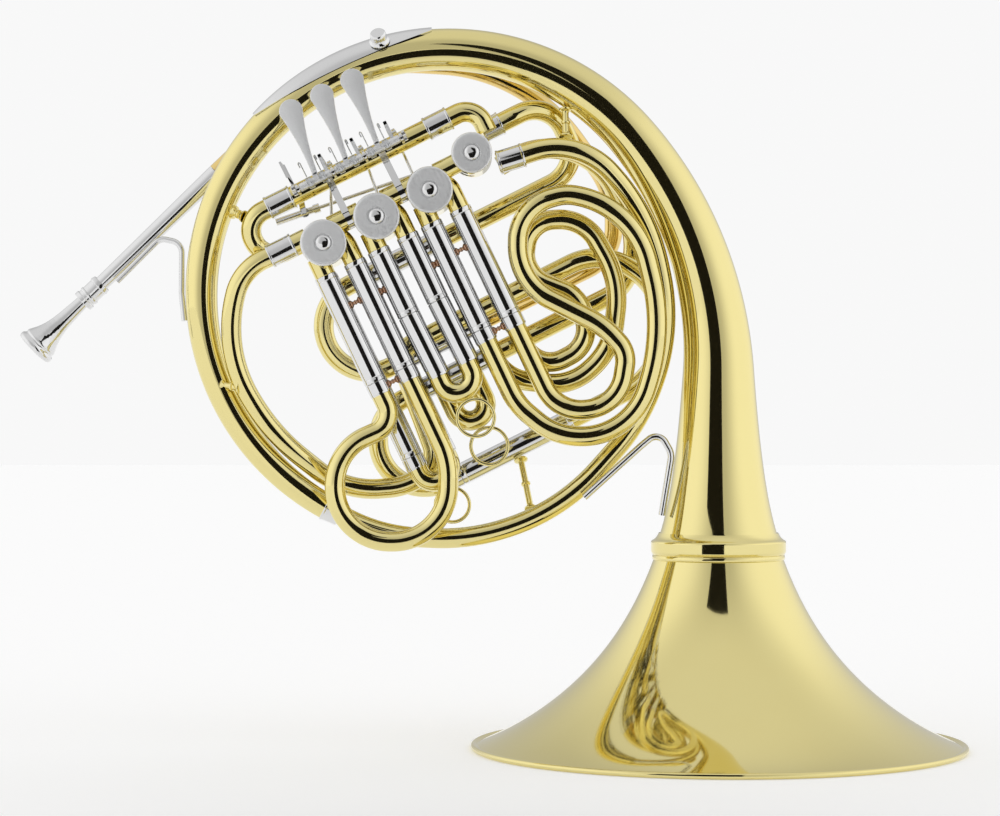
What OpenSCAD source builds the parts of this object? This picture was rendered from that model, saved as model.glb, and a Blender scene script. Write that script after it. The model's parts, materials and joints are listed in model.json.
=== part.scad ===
// Double French horn in F and B flat, with four rotary valves in line.
// It stands on its bell rim. +Z is up the bell axis, X runs along the wrap, and -Y is the lever side.

/* [Bell] */
// Outer radius of the bell rim
rim_r = 155; // [150:0.5:158]
// Height of the flare from the rim to the collar
flare_h = 118; // [112:1:124]
// Radius of the bell at the collar
collar_r = 36.7; // [34:0.1:38]
// Sheet thickness of the bell
bell_wall = 0.7; // [0.5:0.1:1]

/* [Wrap] */
// Radius of the big circle that the bell tail follows
wrap_r = 152.5; // [150:0.5:155]
// Angle at which the valve section climbs, in degrees
tilt = 26.57; // [25:0.01:28]
// Outer diameter of the lacquered tubing
tube_d = 12.6; // [12.4:0.1:12.8]
// Wall thickness of the tubing
tube_wall = 0.55; // [0.4:0.05:0.7]

/* [Valves] */
// Distance from one rotor to the next along the valve line
valve_pitch = 36.5; // [36:0.5:37]
// Outer diameter of the three main valve casings
casing_d = 28; // [27:0.5:28.5]
// Outer diameter of the change valve casing
change_d = 24.6; // [24:0.2:25]
// Radial running clearance of rotors and slides
fit_gap = 0.05; // [0.03:0.01:0.08]

/* [Slides] */
// Outer diameter of the nickel slide sleeves
sleeve_d = 14; // [13.8:0.1:14.2]
// Distance between the two legs of a valve slide
leg_gap = 20; // [19.4:0.1:20.4]
// How far the slides lean from square to the valve line, in mm per mm
lean = 0.02; // [0:0.005:0.025]

/* [Levers] */
// Height of the lever axle above the valve line
axle_up = 37; // [36:0.5:38]
// Diameter of the lever axle
axle_d = 3; // [2.8:0.1:3.2]

/* [Hidden] */
$fn = 48;

brass = "#e3cf74";
dark_brass = "#c79a3a";
nickel = "#c9ccd0";
bronze = "#8d5f42";
cork = "#3b2a20";

tube_r = tube_d / 2;
bore_r = tube_r - tube_wall;
sleeve_r = sleeve_d / 2;
sleeve_bore = 6;
inner_r = sleeve_bore - fit_gap;
slide_gap = 0.3;

// Depths: valve slides in front, B flat slides behind them, tuning slides at the back
f_y = -20;
b_y = -3;
back_y = 25;

// Centre of the big circle, and of rotor 1
wrap_c = [-170.5, 284];
v1 = [-245, 0, 314];
along = [cos(tilt), 0, sin(tilt)];
up = [-sin(tilt), 0, cos(tilt)];

// Valve positions along and above the valve line
valve_a = [0, valve_pitch, 2 * valve_pitch, 106.3];
valve_b = [0, 0, 0, 8.9];
casing_r = [casing_d / 2, casing_d / 2, casing_d / 2, change_d / 2];
casing_front = [-30, -30, -30, -28];
casing_back = 9;
casing_wall = 1.6;
function rotor_r(i) = casing_r[i] - casing_wall - fit_gap;

left_leg = -8.2;
right_leg = left_leg + leg_gap;

// A place in the tilted valve section, given along the valve line, in depth, and up from it
function wf(a, y, b, r = 0) = let (p = v1 + (a + lean * min(b, 0)) * along + b * up) [p[0], y, p[2], r];

function unit(v) = v / norm(v);
function xyz(p) = [p[0], p[1], p[2]];
function xyzr(p, r) = [p[0], p[1], p[2], r];
function to_prev(p, i) = unit(xyz(p[i - 1]) - xyz(p[i]));
function to_next(p, i) = unit(xyz(p[i + 1]) - xyz(p[i]));
function is_end(p, i) = i == 0 || i == len(p) - 1;
function inside_angle(p, i) = acos(to_prev(p, i) * to_next(p, i));
function tangent(p, i) = is_end(p, i) ? 0 : p[i][3] / tan(inside_angle(p, i) / 2);

// Place children so that their Z axis runs along d from p
module aim(p, d) {
  translate(p) rotate([0, acos(d[2] / norm(d)), atan2(d[1], d[0])]) children();
}

// Solder gap between the pieces of one tube
joint_gap = 0.01;

module pipe(p, q, ro, ri) {
  h = norm(q - p) - 2 * joint_gap;
  aim(p, q - p) translate([0, 0, joint_gap]) difference() {
    cylinder(r = ro, h = h);
    if (ri > 0) translate([0, 0, -1]) cylinder(r = ri, h = h + 2);
  }
}

// One bend of a route, as an exact piece of a torus
module bend(p, i, ro, ri) {
  a = to_prev(p, i);
  b = to_next(p, i);
  th = inside_angle(p, i);
  c = xyz(p[i]) + unit(a + b) * p[i][3] / sin(th / 2);
  ex = unit(xyz(p[i]) + a * tangent(p, i) - c);
  ez = unit(cross(b, a));
  ey = cross(ez, ex);
  m = [
    [ex[0], ey[0], ez[0], c[0]],
    [ex[1], ey[1], ez[1], c[1]],
    [ex[2], ey[2], ez[2], c[2]],
    [0, 0, 0, 1]
  ];
  cut = joint_gap / p[i][3] * 180 / PI;
  multmatrix(m) rotate([0, 0, cut]) rotate_extrude(angle = 180 - th - 2 * cut) translate([p[i][3], 0])
    difference() {
      circle(r = ro);
      if (ri > 0) circle(r = ri);
    }
}

// A bent tube along a route of corners, each with its own bend radius
module bent_tube(p, ro = tube_r, ri = bore_r) {
  for (i = [1 : len(p) - 2]) bend(p, i, ro, ri);
  for (i = [0 : len(p) - 2]) {
    s = xyz(p[i]) + to_next(p, i) * tangent(p, i);
    e = xyz(p[i + 1]) + to_prev(p, i + 1) * tangent(p, i + 1);
    if (norm(e - s) > 0.05) pipe(s, e, ro, ri);
  }
}

module at_wrap(a = 0, b = 0) {
  p = wf(a, 0, b);
  translate([p[0], 0, p[2]]) rotate([0, -tilt, 0]) children();
}

module at_valve(i) {
  at_wrap(valve_a[i], valve_b[i]) children();
}

// A cylinder along +Y from y0 to y1
module post_y(r, y0, y1) {
  translate([0, y0, 0]) rotate([-90, 0, 0]) cylinder(r = r, h = y1 - y0);
}

module ring_y(r, wire) {
  rotate([90, 0, 0]) rotate_extrude() translate([r, 0]) circle(r = wire);
}

// ---------- bell ----------
bead_r = 1.85;
bead_z = 1.7;
flare_steps = 36;
function flare_radius(z) = 117 * pow(232 / (z + 212), 3) + 5 * exp(-z / 5);
function flare_z(k) = 1.2 + (flare_h - 1.2) * pow(k / flare_steps, 1.6);

module bell_flare() {
  outside = [for (k = [0 : flare_steps]) [flare_radius(flare_z(k)), flare_z(k)]];
  inside = [for (k = [flare_steps : -1 : 0]) outside[k] - [bell_wall * 1.15, bell_wall * 0.6]];
  color(brass) rotate_extrude($fn = 96) union() {
    polygon(concat(outside, inside));
    intersection() {
      translate([rim_r - bead_r, bead_z]) circle(r = bead_r);
      translate([rim_r - 10, 0]) square(20);
    }
  }
}

collar_seam = 121.3;
spigot_r = 38.9;
module bell_flare_collar() {
  color(brass) rotate_extrude($fn = 96) polygon([
    [38.8, flare_h + 0.03], [41.2, flare_h + 0.03], [41.5, 119.4], [41.2, collar_seam - slide_gap],
    [spigot_r, collar_seam - slide_gap], [spigot_r, 128.8], [37.3, 128.8], [37.3, 121]
  ]);
}

module bell_tail_collar() {
  color(brass) rotate_extrude($fn = 96) polygon([
    [spigot_r + fit_gap, collar_seam], [41.6, collar_seam], [42.2, 122.6], [42.2, 129.2], [41, 130.2],
    [38.4, 132.4], [37.4, 134.6], [36.9, 134.6], [36.9, 129.2], [spigot_r + fit_gap, 129.2]
  ]);
}

// Bell tail: the big circle, then a wider bend into the bell axis
tail_start = 240.6;
tail_turn = 40;
exit_r = 229.5;
exit_z = 234.5;
tail_end_z = 133.4;
circle_len = (tail_start - tail_turn) * PI / 180 * wrap_r;
exit_len = tail_turn * PI / 180 * exit_r;
tail_len = circle_len + exit_len + exit_z - tail_end_z;
tail_rings = 60;
tail_sides = 24;

function tail_radius(s) = let (q = tail_len - s)
  collar_r * pow(1 + q / 60, -0.505) - 1.4 * pow(q / tail_len, 3);
// Centre point and heading of the tail at distance s from its small end
function tail_at(s) =
  s < circle_len ? let (t = tail_start - s / wrap_r * 180 / PI)
    [wrap_c[0] + wrap_r * cos(t), wrap_c[1] + wrap_r * sin(t), t - 90] :
  s < circle_len + exit_len ? let (t = tail_turn - (s - circle_len) / exit_r * 180 / PI)
    [-exit_r + exit_r * cos(t), exit_z + exit_r * sin(t), t - 90] :
  [0, exit_z - (s - circle_len - exit_len), -90];
function tail_ring(s, r) = let (c = tail_at(s))
  [for (k = [0 : tail_sides - 1]) let (w = k * 360 / tail_sides)
    [c[0] - sin(c[2]) * r * cos(w), r * sin(w), c[1] + cos(c[2]) * r * cos(w)]];

module bell_tail() {
  n = tail_sides;
  m = tail_rings;
  outer = [for (i = [0 : m]) each tail_ring(i / m * tail_len, tail_radius(i / m * tail_len))];
  inner = [for (i = [0 : m]) each tail_ring(i / m * tail_len, tail_radius(i / m * tail_len) - bell_wall)];
  base = len(outer);
  faces = [
    for (i = [0 : m - 1]) for (k = [0 : n - 1])
      [i * n + k, (i + 1) * n + k, (i + 1) * n + (k + 1) % n, i * n + (k + 1) % n],
    for (i = [0 : m - 1]) for (k = [0 : n - 1])
      [base + i * n + k, base + i * n + (k + 1) % n, base + (i + 1) * n + (k + 1) % n, base + (i + 1) * n + k],
    for (k = [0 : n - 1]) [k, (k + 1) % n, base + (k + 1) % n, base + k],
    for (k = [0 : n - 1]) [m * n + k, base + m * n + k, base + m * n + (k + 1) % n, m * n + (k + 1) % n]
  ];
  color(brass) polyhedron(points = concat(outer, inner), faces = faces, convexity = 10);
}

ferrule_len = 11;
ferrule_a = tail_at(0);
ferrule_dir = [cos(ferrule_a[2]), 0, sin(ferrule_a[2])];
ferrule_pt = [ferrule_a[0], 0, ferrule_a[1]];
module bell_tail_ferrule() {
  color(nickel) aim(ferrule_pt, -ferrule_dir) difference() {
    union() {
      cylinder(r1 = 8.9, r2 = 7.4, h = ferrule_len);
      cylinder(r = 9.1, h = 1.4);
    }
    translate([0, 0, -1]) cylinder(r = bore_r, h = ferrule_len + 2);
  }
}

// ---------- fixed tubing ----------
main_start = ferrule_pt - ferrule_dir * ferrule_len;
module main_branch() {
  color(brass) bent_tube([
    [main_start[0], 0, main_start[2], 0], xyzr(main_start - 26 * ferrule_dir, 108), [-155, -1, 130, 130],
    [-98, -2, 149, 128], [-49, -3, 204, 122], [-29, -4, 262, 122], [-44, -8, 333, 118], [-88, -19, 380, 46],
    [-138, -19, 364, 0]
  ]);
}

module change_branch() {
  color(dark_brass) bent_tube([
    wf(62.6, back_y, -107), [-56, 27, 289, 30], [-50, 24, 322, 44], [-77, 2, 374, 45], [-118, 1, 375, 44],
    wf(119, 1, -4)
  ]);
}

module left_coil() {
  color(brass) bent_tube([
    wf(-34, f_y, 8), [-296, -20, 299, 33], [-309, -12, 249, 84], [-279, -8, 197, 120], [-234, 8, 160, 56],
    [-196, 11, 163, 39], [-175, 11, 177, 17], [-201, 11, 248, 13], [-74, 11, 312, 37], [-37, 14, 290, 37],
    [-31, 14, 236, 43], wf(102, back_y, -166, 18), wf(92, back_y, -166)
  ]);
}

// Mouthpipe: straight and tapered outside the ring, then round behind it to the main tuning slide
pipe_dir = [0.7196, 0, 0.6944];
rim_centre = [-430.5, 16, 249.5];
receiver_at = rim_centre + 43 * pipe_dir;
cone_at = receiver_at + 17 * pipe_dir;
cone_len = 100;
lead_r = 5.75;
module leadpipe() {
  bend_at = cone_at + (cone_len + slide_gap) * pipe_dir;
  color(nickel) aim(cone_at, pipe_dir) difference() {
    cylinder(r1 = 4.8, r2 = lead_r, h = cone_len);
    translate([0, 0, -1]) cylinder(r1 = 3.9, r2 = lead_r - 0.6, h = cone_len + 2);
  }
  color(dark_brass) bent_tube([
    [bend_at[0], bend_at[1], bend_at[2], 0], [-240, 21, 433, 128], [-120, 33, 427, 112], [-64, 38, 350, 56],
    [-64, 36, 309, 30], wf(62, back_y, -85)
  ], lead_r, lead_r - 0.6);
}

module mouthpiece_receiver() {
  color(nickel) aim(receiver_at, pipe_dir) difference() {
    union() {
      cylinder(r = 6.2, h = 17);
      cylinder(r = 7, h = 3);
      translate([0, 0, 5]) cylinder(r = 6.8, h = 1.6);
      translate([0, 0, 14]) cylinder(r1 = 6.8, r2 = 6.2, h = 3);
    }
    translate([0, 0, -1]) cylinder(r = 4.25, h = 15);
    cylinder(r = 3.9, h = 18);
  }
}

module leadpipe_wire_brace() {
  color(nickel) bent_tube([
    [-377, 10, 292, 0], [-350, 10, 319, 7], [-336, 8, 316, 8], [-336, 6, 284, 20], [-334, 4, 267, 0]
  ], 1.9, 0);
}

module lever_tube() {
  color(brass) bent_tube([
    wf(-16, -3, 8), wf(-39, -3, 8, 13.9), wf(-39, -10, 36, 13.9), wf(121.5, -10, 36, 12), wf(121.5, -11, 17.5)
  ]);
}

module tuning_branch() {
  color(dark_brass) bent_tube([
    wf(119, 3.4, 20), wf(142, 3.4, 20, 12), wf(166, 8, 20, 22), wf(166, 24, -27, 22), wf(140, back_y, -27, 12),
    wf(62, back_y, -27)
  ]);
}

// Sleeves of the main tuning slide and of the F tuning slide
a_up = -27;
a_low = -85;
t_up = -107;
t_low = -166;
bow_a = 14;
module tuning_sleeves() {
  color(nickel) {
    for (b = [a_up, a_low, t_up]) pipe(xyz(wf(bow_a, back_y, b)), xyz(wf(62, back_y, b)), sleeve_r, sleeve_bore);
    pipe(xyz(wf(bow_a, back_y, t_low)), xyz(wf(92, back_y, t_low)), sleeve_r, sleeve_bore);
  }
}

module ferrule(a0, a1, y, b) {
  r = tube_r + 0.02;
  h = a1 - a0;
  aim(xyz(wf(a0, y, b)), along) rotate_extrude() polygon([
    [r, 0], [r + 1.3, 0], [r + 1.3, 1.4], [r + 0.9, 1.4], [r + 0.9, h - 1.4], [r + 1.3, h - 1.4], [r + 1.3, h], [r, h]
  ]);
}
module nickel_ferrules() {
  color(nickel) {
    ferrule(-34, -17, f_y, 8);
    ferrule(-22, -5, -10, 36);
    ferrule(88, 104, -10, 36);
    ferrule(119.3, 132, 3.4, 20);
  }
}

// ---------- valves ----------
port_r = 5.6;
module valve_casing(i) {
  r = casing_r[i];
  color(brass) at_valve(i) difference() {
    post_y(r, casing_front[i], casing_back);
    post_y(r - casing_wall, casing_front[i] - 1, casing_back + 1);
    for (y = [f_y, b_y]) translate([0, y, 0]) {
      translate([left_leg, 0, -r - 2]) cylinder(r = 4.6, h = r);
      translate([-r - 2, 0, i == 3 ? -2 : 8]) rotate([0, 90, 0]) cylinder(r = 4.2, h = 2 * r + 4);
    }
  }
}
module valve_casing_1() valve_casing(0);
module valve_casing_2() valve_casing(1);
module valve_casing_3() valve_casing(2);
module valve_casing_4() valve_casing(3);

module valve_caps() {
  color(nickel) for (i = [0 : 3]) at_valve(i) translate([0, casing_front[i], 0]) rotate([90, 0, 0]) {
    r = casing_r[i] + 0.3;
    difference() {
      union() {
        cylinder(r = r, h = 2.4);
        translate([0, 0, 2.4]) cylinder(r1 = r, r2 = r - 0.6, h = 0.6);
        translate([0, 0, 3]) cylinder(r = 5.6, h = 0.7);
      }
      translate([0, 0, 2.2]) cylinder(r = 4.9, h = 2);
    }
    translate([0, 0, 2.2]) cylinder(r1 = 4.6, r2 = 4.4, h = 1.4);
    translate([0, 0, 3.6]) cylinder(r1 = 4.4, r2 = 2.4, h = 1.3);
  }
}

spindle_r = 3;
module valve_bearings() {
  color(brass) for (i = [0 : 3]) at_valve(i) difference() {
    post_y(casing_r[i] - casing_wall - joint_gap, 5.5, casing_back);
    post_y(spindle_r + fit_gap, 5, casing_back + 1);
  }
}

// Tube stubs and elbows between the casings and the slides, and from one casing to the next
knuckle_b = -18;
module valve_knuckles() {
  color(brass) difference() {
    union() {
      for (i = [0 : 2]) for (y = [f_y, b_y]) {
        a = valve_a[i];
        pipe(xyz(wf(a + left_leg, y, -6)), xyz(wf(a + left_leg, y, knuckle_b)), tube_r, bore_r);
        bent_tube([wf(a + 2, y, 3), wf(a + right_leg, y, 3, 9.4), wf(a + right_leg, y, knuckle_b)]);
      }
      for (i = [0 : 1]) for (y = [f_y, b_y])
        pipe(xyz(wf(valve_a[i] + 8, y, 8)), xyz(wf(valve_a[i + 1] - 8, y, 8)), tube_r, bore_r);
      pipe(xyz(wf(valve_a[2] + 8, f_y, 8)), xyz(wf(valve_a[3] - 8, f_y, 8)), tube_r, bore_r);
      pipe(xyz(wf(-17, f_y, 8)), xyz(wf(-8, f_y, 8)), tube_r, bore_r);
      pipe(xyz(wf(-16, b_y, 8)), xyz(wf(-8, b_y, 8)), tube_r, bore_r);
    }
    for (i = [0 : 3]) at_valve(i) post_y(casing_r[i], -40, 20);
  }
}

// Rotor: a solid plug with two curved passages at each slide level
module rotor(i) {
  r = rotor_r(i);
  color(brass) at_valve(i) difference() {
    union() {
      post_y(r, casing_front[i] + 0.4, 5.2);
      post_y(spindle_r, 5.1, arm_y1);
    }
    for (y = [f_y, b_y]) for (s = [-1, 1])
      translate([s * r * 1.25, y, 0]) rotate([90, 0, 0]) rotate_extrude() translate([r * 0.85, 0]) circle(r = 4.6);
  }
}
module rotor_1() rotor(0);
module rotor_2() rotor(1);
module rotor_3() rotor(2);
module rotor_4() rotor(3);

// Stop arm: a clamp hub on the spindle, a crank pin for the link rod, and a stop finger
crank = [6, 6, 6, 3.6];
crank_at = [45, 45, 135, 135];
// Sense of each rotor's quarter turn, and the reach of its stop finger
turn = [-1, -1, 1, -1];
finger_reach = 9.8;
arm_y0 = 11.5;
arm_y1 = 14.5;
module stop_arm(i) {
  pin = crank[i] * [cos(crank_at[i]), sin(crank_at[i])];
  color(nickel) at_valve(i) {
    difference() {
      union() {
        post_y(4.6, arm_y0, arm_y1);
        hull() {
          translate([pin[0], 0, pin[1]]) post_y(2.2, arm_y0, arm_y1);
          post_y(2.2, arm_y0, arm_y1);
        }
        hull() {
          translate([-pin[0], 0, -pin[1]] * finger_reach / crank[i]) post_y(1.6, arm_y0, arm_y1);
          post_y(2.2, arm_y0, arm_y1);
        }
      }
      post_y(spindle_r + 0.02, arm_y0 - 1, arm_y1 + 1);
    }
    translate([pin[0], 0, pin[1]]) post_y(1, arm_y1, i == 3 ? rod4_y + 2.4 : tip_y + 3.4);
  }
}
module stop_arm_1() stop_arm(0);
module stop_arm_2() stop_arm(1);
module stop_arm_3() stop_arm(2);
module stop_arm_4() stop_arm(3);

// ---------- valve slides ----------
seam = [-91, -63, -91];
seam_b = [-142, -91, -91];
module sleeves(y, ends) {
  color(nickel) for (i = [0 : 2]) for (l = [left_leg, right_leg]) {
    a = valve_a[i] + l;
    pipe(xyz(wf(a, y, knuckle_b)), xyz(wf(a, y, ends[i] + slide_gap)), sleeve_r, sleeve_bore);
  }
}
module f_valve_sleeves() sleeves(f_y, seam);
module bflat_valve_sleeves() sleeves(b_y, seam_b);

// Two inner legs, their nickel ferrules, and a crook given as a route
module slide(a0, a1, y, top, joint, low, route) {
  color(nickel) for (a = [a0, a1]) {
    pipe(xyz(wf(a, y, top)), xyz(wf(a, y, joint)), inner_r, inner_r - 0.6);
    pipe(xyz(wf(a, y, joint)), xyz(wf(a, y, low)), sleeve_r, inner_r - 0.6);
  }
  color(brass) bent_tube(route);
}

// Plain return bend between two legs
function return_bend(a0, a1, y, low, turn) =
  let (r = (a1 - a0) / 2 - 0.02) [wf(a0, y, low), wf(a0, y, turn, r), wf(a1, y, turn, r), wf(a1, y, low)];

module pull_ring(a, y, b, r) {
  p = wf(a, y - tube_r + 0.6, b);
  color(brass) translate(xyz(p)) ring_y(r, 1.1);
}

module brace_between(p, q) {
  color(bronze) {
    pipe(p, q, 1.2, 0);
    pipe(p, p + unit(q - p) * 1.6, 2.6, 0);
    pipe(q, q - unit(q - p) * 1.6, 2.6, 0);
  }
}

module f_slide_1() {
  a0 = left_leg;
  a1 = right_leg;
  slide(a0, a1, f_y, -34, seam[0], -99, [
    wf(a0, f_y, -99), wf(a0, f_y, -119, 13), [-237, f_y, 187, 32], [-241, f_y, 130, 34],
    [-169, f_y, 130, 34], wf(a1, f_y, -154, 50), wf(a1, f_y, -99)
  ]);
  brace_between(xyz(wf(a0 + sleeve_r - 0.2, f_y, -95)), xyz(wf(a1 - sleeve_r + 0.2, f_y, -95)));
}

module f_slide_2() {
  a0 = valve_pitch + left_leg;
  a1 = valve_pitch + right_leg;
  slide(a0, a1, f_y, -24, seam[1], -105, return_bend(a0, a1, f_y, -105, -120));
  pull_ring(a0 + leg_gap / 2, f_y, -138, 11.5);
}

module f_slide_3() {
  a0 = 2 * valve_pitch + left_leg;
  a1 = 2 * valve_pitch + right_leg;
  slide(a0, a1, f_y, -34, seam[2], -99, [
    wf(a0, f_y, -99), wf(a0, f_y, -142, 40), [-102, f_y, 195, 42], [-55, f_y, 195, 42],
    [-35, f_y, 261, 122], [-54, f_y, 337, 55], [-96, f_y, 345, 28], [-125, f_y, 337, 28],
    [-126, f_y, 290, 37], [-72, f_y, 263, 50], [-58, f_y, 247, 18], [-63, f_y, 214, 25],
    wf(a1, f_y, -158, 25), wf(a1, f_y, -99)
  ]);
  brace_between(xyz(wf(a0 + sleeve_r - 0.2, f_y, -95)), xyz(wf(a1 - sleeve_r + 0.2, f_y, -95)));
}

module bflat_slide_1() {
  a0 = left_leg;
  a1 = right_leg;
  slide(a0, a1, b_y, -80, seam_b[0], -150, return_bend(a0, a1, b_y, -150, -163));
  pull_ring(a0 + leg_gap / 2, b_y, -180, 10.6);
}

module bflat_slide_2() {
  a0 = valve_pitch + left_leg;
  a1 = valve_pitch + right_leg;
  slide(a0, a1, b_y, -34, seam_b[1], -99, return_bend(a0, a1, b_y, -99, -139));
  pull_ring(a0 + leg_gap / 2, b_y, -157.5, 11.5);
}

module bflat_slide_3() {
  a0 = 2 * valve_pitch + left_leg;
  a1 = 2 * valve_pitch + right_leg;
  slide(a0, a1, b_y, -34, seam_b[2], -99, [
    wf(a0, b_y, -99), wf(a0, b_y, -124, 25), [-92, b_y, 226, 35], [-67, b_y, 249, 43],
    [-62, b_y, 292, 58], [-84, b_y, 331, 27], [-118, b_y, 329, 18], [-123, b_y, 296, 20],
    [-87, b_y, 282, 21], [-80, b_y, 252, 19], wf(a1, b_y, -130, 18), wf(a1, b_y, -99)
  ]);
}

// Tuning slides at the back: return bends that pull out along the valve line, to the left
module back_slide(up_b, low_b, top, reach) {
  color(nickel) for (b = [up_b, low_b]) {
    pipe(xyz(wf(top, back_y, b)), xyz(wf(bow_a - slide_gap, back_y, b)), inner_r, inner_r - 0.6);
    pipe(xyz(wf(bow_a - slide_gap, back_y, b)), xyz(wf(bow_a - 9, back_y, b)), sleeve_r, inner_r - 0.6);
  }
  r = (up_b - low_b) / 2 - 0.03;
  color(dark_brass) bent_tube([
    wf(bow_a - 9, back_y, up_b), wf(reach, back_y, up_b, r), wf(reach, back_y, low_b, r),
    wf(bow_a - 9, back_y, low_b)
  ]);
}
module main_tuning_slide() back_slide(a_up, a_low, 52, -27);
module f_tuning_slide() back_slide(t_up, t_low, 52, -27);

// ---------- mouthpiece ----------
module mouthpiece() {
  color(nickel) aim(rim_centre, pipe_dir) rotate_extrude($fn = 64) polygon([
    [8.6, 0.9], [9.2, 0.3], [10.4, 0], [11.8, 0.3], [12.6, 1.2], [12.7, 2.6], [12.2, 3.8], [11.2, 4.6],
    [10.9, 5.8], [11.2, 6.6], [10.6, 8], [8.6, 12], [6.9, 17], [5.7, 23], [5, 30], [4.6, 36], [4.2, 43.2],
    [4.2, 56.6], [3.4, 56.6], [2.4, 36], [2.2, 30], [3.6, 22], [6.2, 12], [8, 5]
  ]);
}

// ---------- guard, stay and braces ----------
guard_from = (tail_start - 137) * PI / 180 * wrap_r;
guard_to = (tail_start - 93) * PI / 180 * wrap_r;
guard_n = 20;
guard_m = 8;
function guard_half(f) = 62 * pow(sin(180 * (0.02 + 0.96 * f)), 0.5);
function guard_pt(s, w, g) = let (c = tail_at(s), r = tail_radius(s) + g)
  [c[0] - sin(c[2]) * r * cos(w), r * sin(w), c[1] + cos(c[2]) * r * cos(w)];
module hand_guard() {
  m = guard_m;
  n = guard_n;
  pts = [for (g = [0.1, 1.1]) for (i = [0 : n]) for (k = [0 : m])
    guard_pt(guard_from + (guard_to - guard_from) * i / n, -20 + guard_half(i / n) * (2 * k / m - 1), g)];
  o = (n + 1) * (m + 1);
  w = m + 1;
  faces = [
    for (i = [0 : n - 1]) for (k = [0 : m - 1]) [i * w + k, i * w + k + 1, (i + 1) * w + k + 1, (i + 1) * w + k],
    for (i = [0 : n - 1]) for (k = [0 : m - 1])
      [o + i * w + k, o + (i + 1) * w + k, o + (i + 1) * w + k + 1, o + i * w + k + 1],
    for (i = [0 : n - 1]) [i * w, (i + 1) * w, o + (i + 1) * w, o + i * w],
    for (i = [0 : n - 1]) [i * w + m, o + i * w + m, o + (i + 1) * w + m, (i + 1) * w + m],
    for (k = [0 : m - 1]) [k, o + k, o + k + 1, k + 1],
    for (k = [0 : m - 1]) [n * w + k, n * w + k + 1, o + n * w + k + 1, o + n * w + k]
  ];
  color(nickel) polyhedron(points = pts, faces = faces, convexity = 6);
}

boss_s = (tail_start - 104.6) * PI / 180 * wrap_r;
module guard_boss() {
  p = guard_pt(boss_s, -50, 1.6);
  q = guard_pt(boss_s, -50, 10);
  color(nickel) aim(p, q - p) {
    cylinder(r = 6.6, h = 0.9);
    translate([0, 0, 0.9]) cylinder(r1 = 6.2, r2 = 5, h = 2);
    translate([0, 0, 2.9]) cylinder(r = 5, h = 3.4);
    translate([0, 0, 6.3]) cylinder(r1 = 5, r2 = 3.6, h = 1.3);
  }
}

// Stay from the big circle, up and over in a hook, down to the throat
module bell_stay() {
  color(nickel) bent_tube([
    [-84, -10, 157, 0], [-49, -14, 189, 14], [-38, -14, 198, 6.5], [-30, -14, 184, 11], [-36, -10, 146, 0]
  ], 2.2, 0);
}

module slide_braces() {
  for (i = [0, 2]) brace_between(
    xyz(wf(valve_a[i] + left_leg + sleeve_r + 0.02, f_y, -41)),
    xyz(wf(valve_a[i] + right_leg - sleeve_r - 0.02, f_y, -41))
  );
  for (i = [0, 1]) brace_between(
    xyz(wf(valve_a[i] + right_leg + sleeve_r + 0.02, f_y, -42)),
    xyz(wf(valve_a[i + 1] + left_leg - sleeve_r - 0.02, f_y, -42))
  );
  for (i = [0 : 2]) brace_between(
    xyz(wf(valve_a[i] + left_leg, f_y + sleeve_r + 0.02, -50)),
    xyz(wf(valve_a[i] + left_leg, b_y - sleeve_r - 0.02, -50))
  );
  for (a = [24, 52]) brace_between(
    xyz(wf(a, back_y, a_low - sleeve_r - 0.02)), xyz(wf(a, back_y, t_up + sleeve_r + 0.02))
  );
}

module flanged_post(p, q, r) {
  pipe(p, q, r, 0);
  pipe(p, p + unit(q - p) * 2, r * 2.2, 0);
  pipe(q, q - unit(q - p) * 2, r * 2, 0);
}
module body_braces() {
  color(brass) {
    flanged_post([-302.9, -2, 334.8], [-295.6, -7, 331.5], 2);
    flanged_post([-117.5, 18, 170], [-116.5, 6.8, 148], 2);
    flanged_post([-28.5, -3, 305], [-25.4, -2, 305], 2);
    flanged_post([-95.5, -9, 381], [-95.8, -4, 399], 2);
    flanged_post([-297, -13, 225], [-309, -6, 227], 2);
  }
}

// ---------- levers ----------
axle_y = -26;
axle_r = axle_d / 2;
hinge_r = 2.6;
post_a = [0.6, 24.8, 46.6, 71.8];
module lever_axle() {
  color(nickel) {
    pipe(xyz(wf(-3.4, axle_y, axle_up)), xyz(wf(75.4, axle_y, axle_up)), axle_r, 0);
    pipe(xyz(wf(-3.2, axle_y, axle_up)), xyz(wf(-0.4, axle_y, axle_up)), 3.4, 0);
    pipe(xyz(wf(72.8, axle_y, axle_up)), xyz(wf(75.2, axle_y, axle_up)), 3.4, 0);
  }
}

tube_y = -10;
tube_b = 36;
thumb_a = -1;
module lever_posts() {
  color(nickel) {
    difference() {
      union() {
        for (a = post_a) at_wrap(a, axle_up) {
          translate([-0.8, axle_y, 0]) rotate([0, 90, 0]) cylinder(r = 3.2, h = 1.6);
          translate([-0.8, axle_y, -3.2]) cube([1.6, 12, 6.4]);
        }
        at_wrap(thumb_a, tube_b) post_y(2, tube_y, 19.6);
      }
      pipe(xyz(wf(-5, axle_y, axle_up)), xyz(wf(80, axle_y, axle_up)), axle_r, 0);
      pipe(xyz(wf(-10, tube_y, tube_b)), xyz(wf(80, tube_y, tube_b)), tube_r + 0.02, 0);
    }
    at_wrap(thumb_a, tube_b) post_y(3.1, 19.6, 20.8);
  }
}

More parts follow.
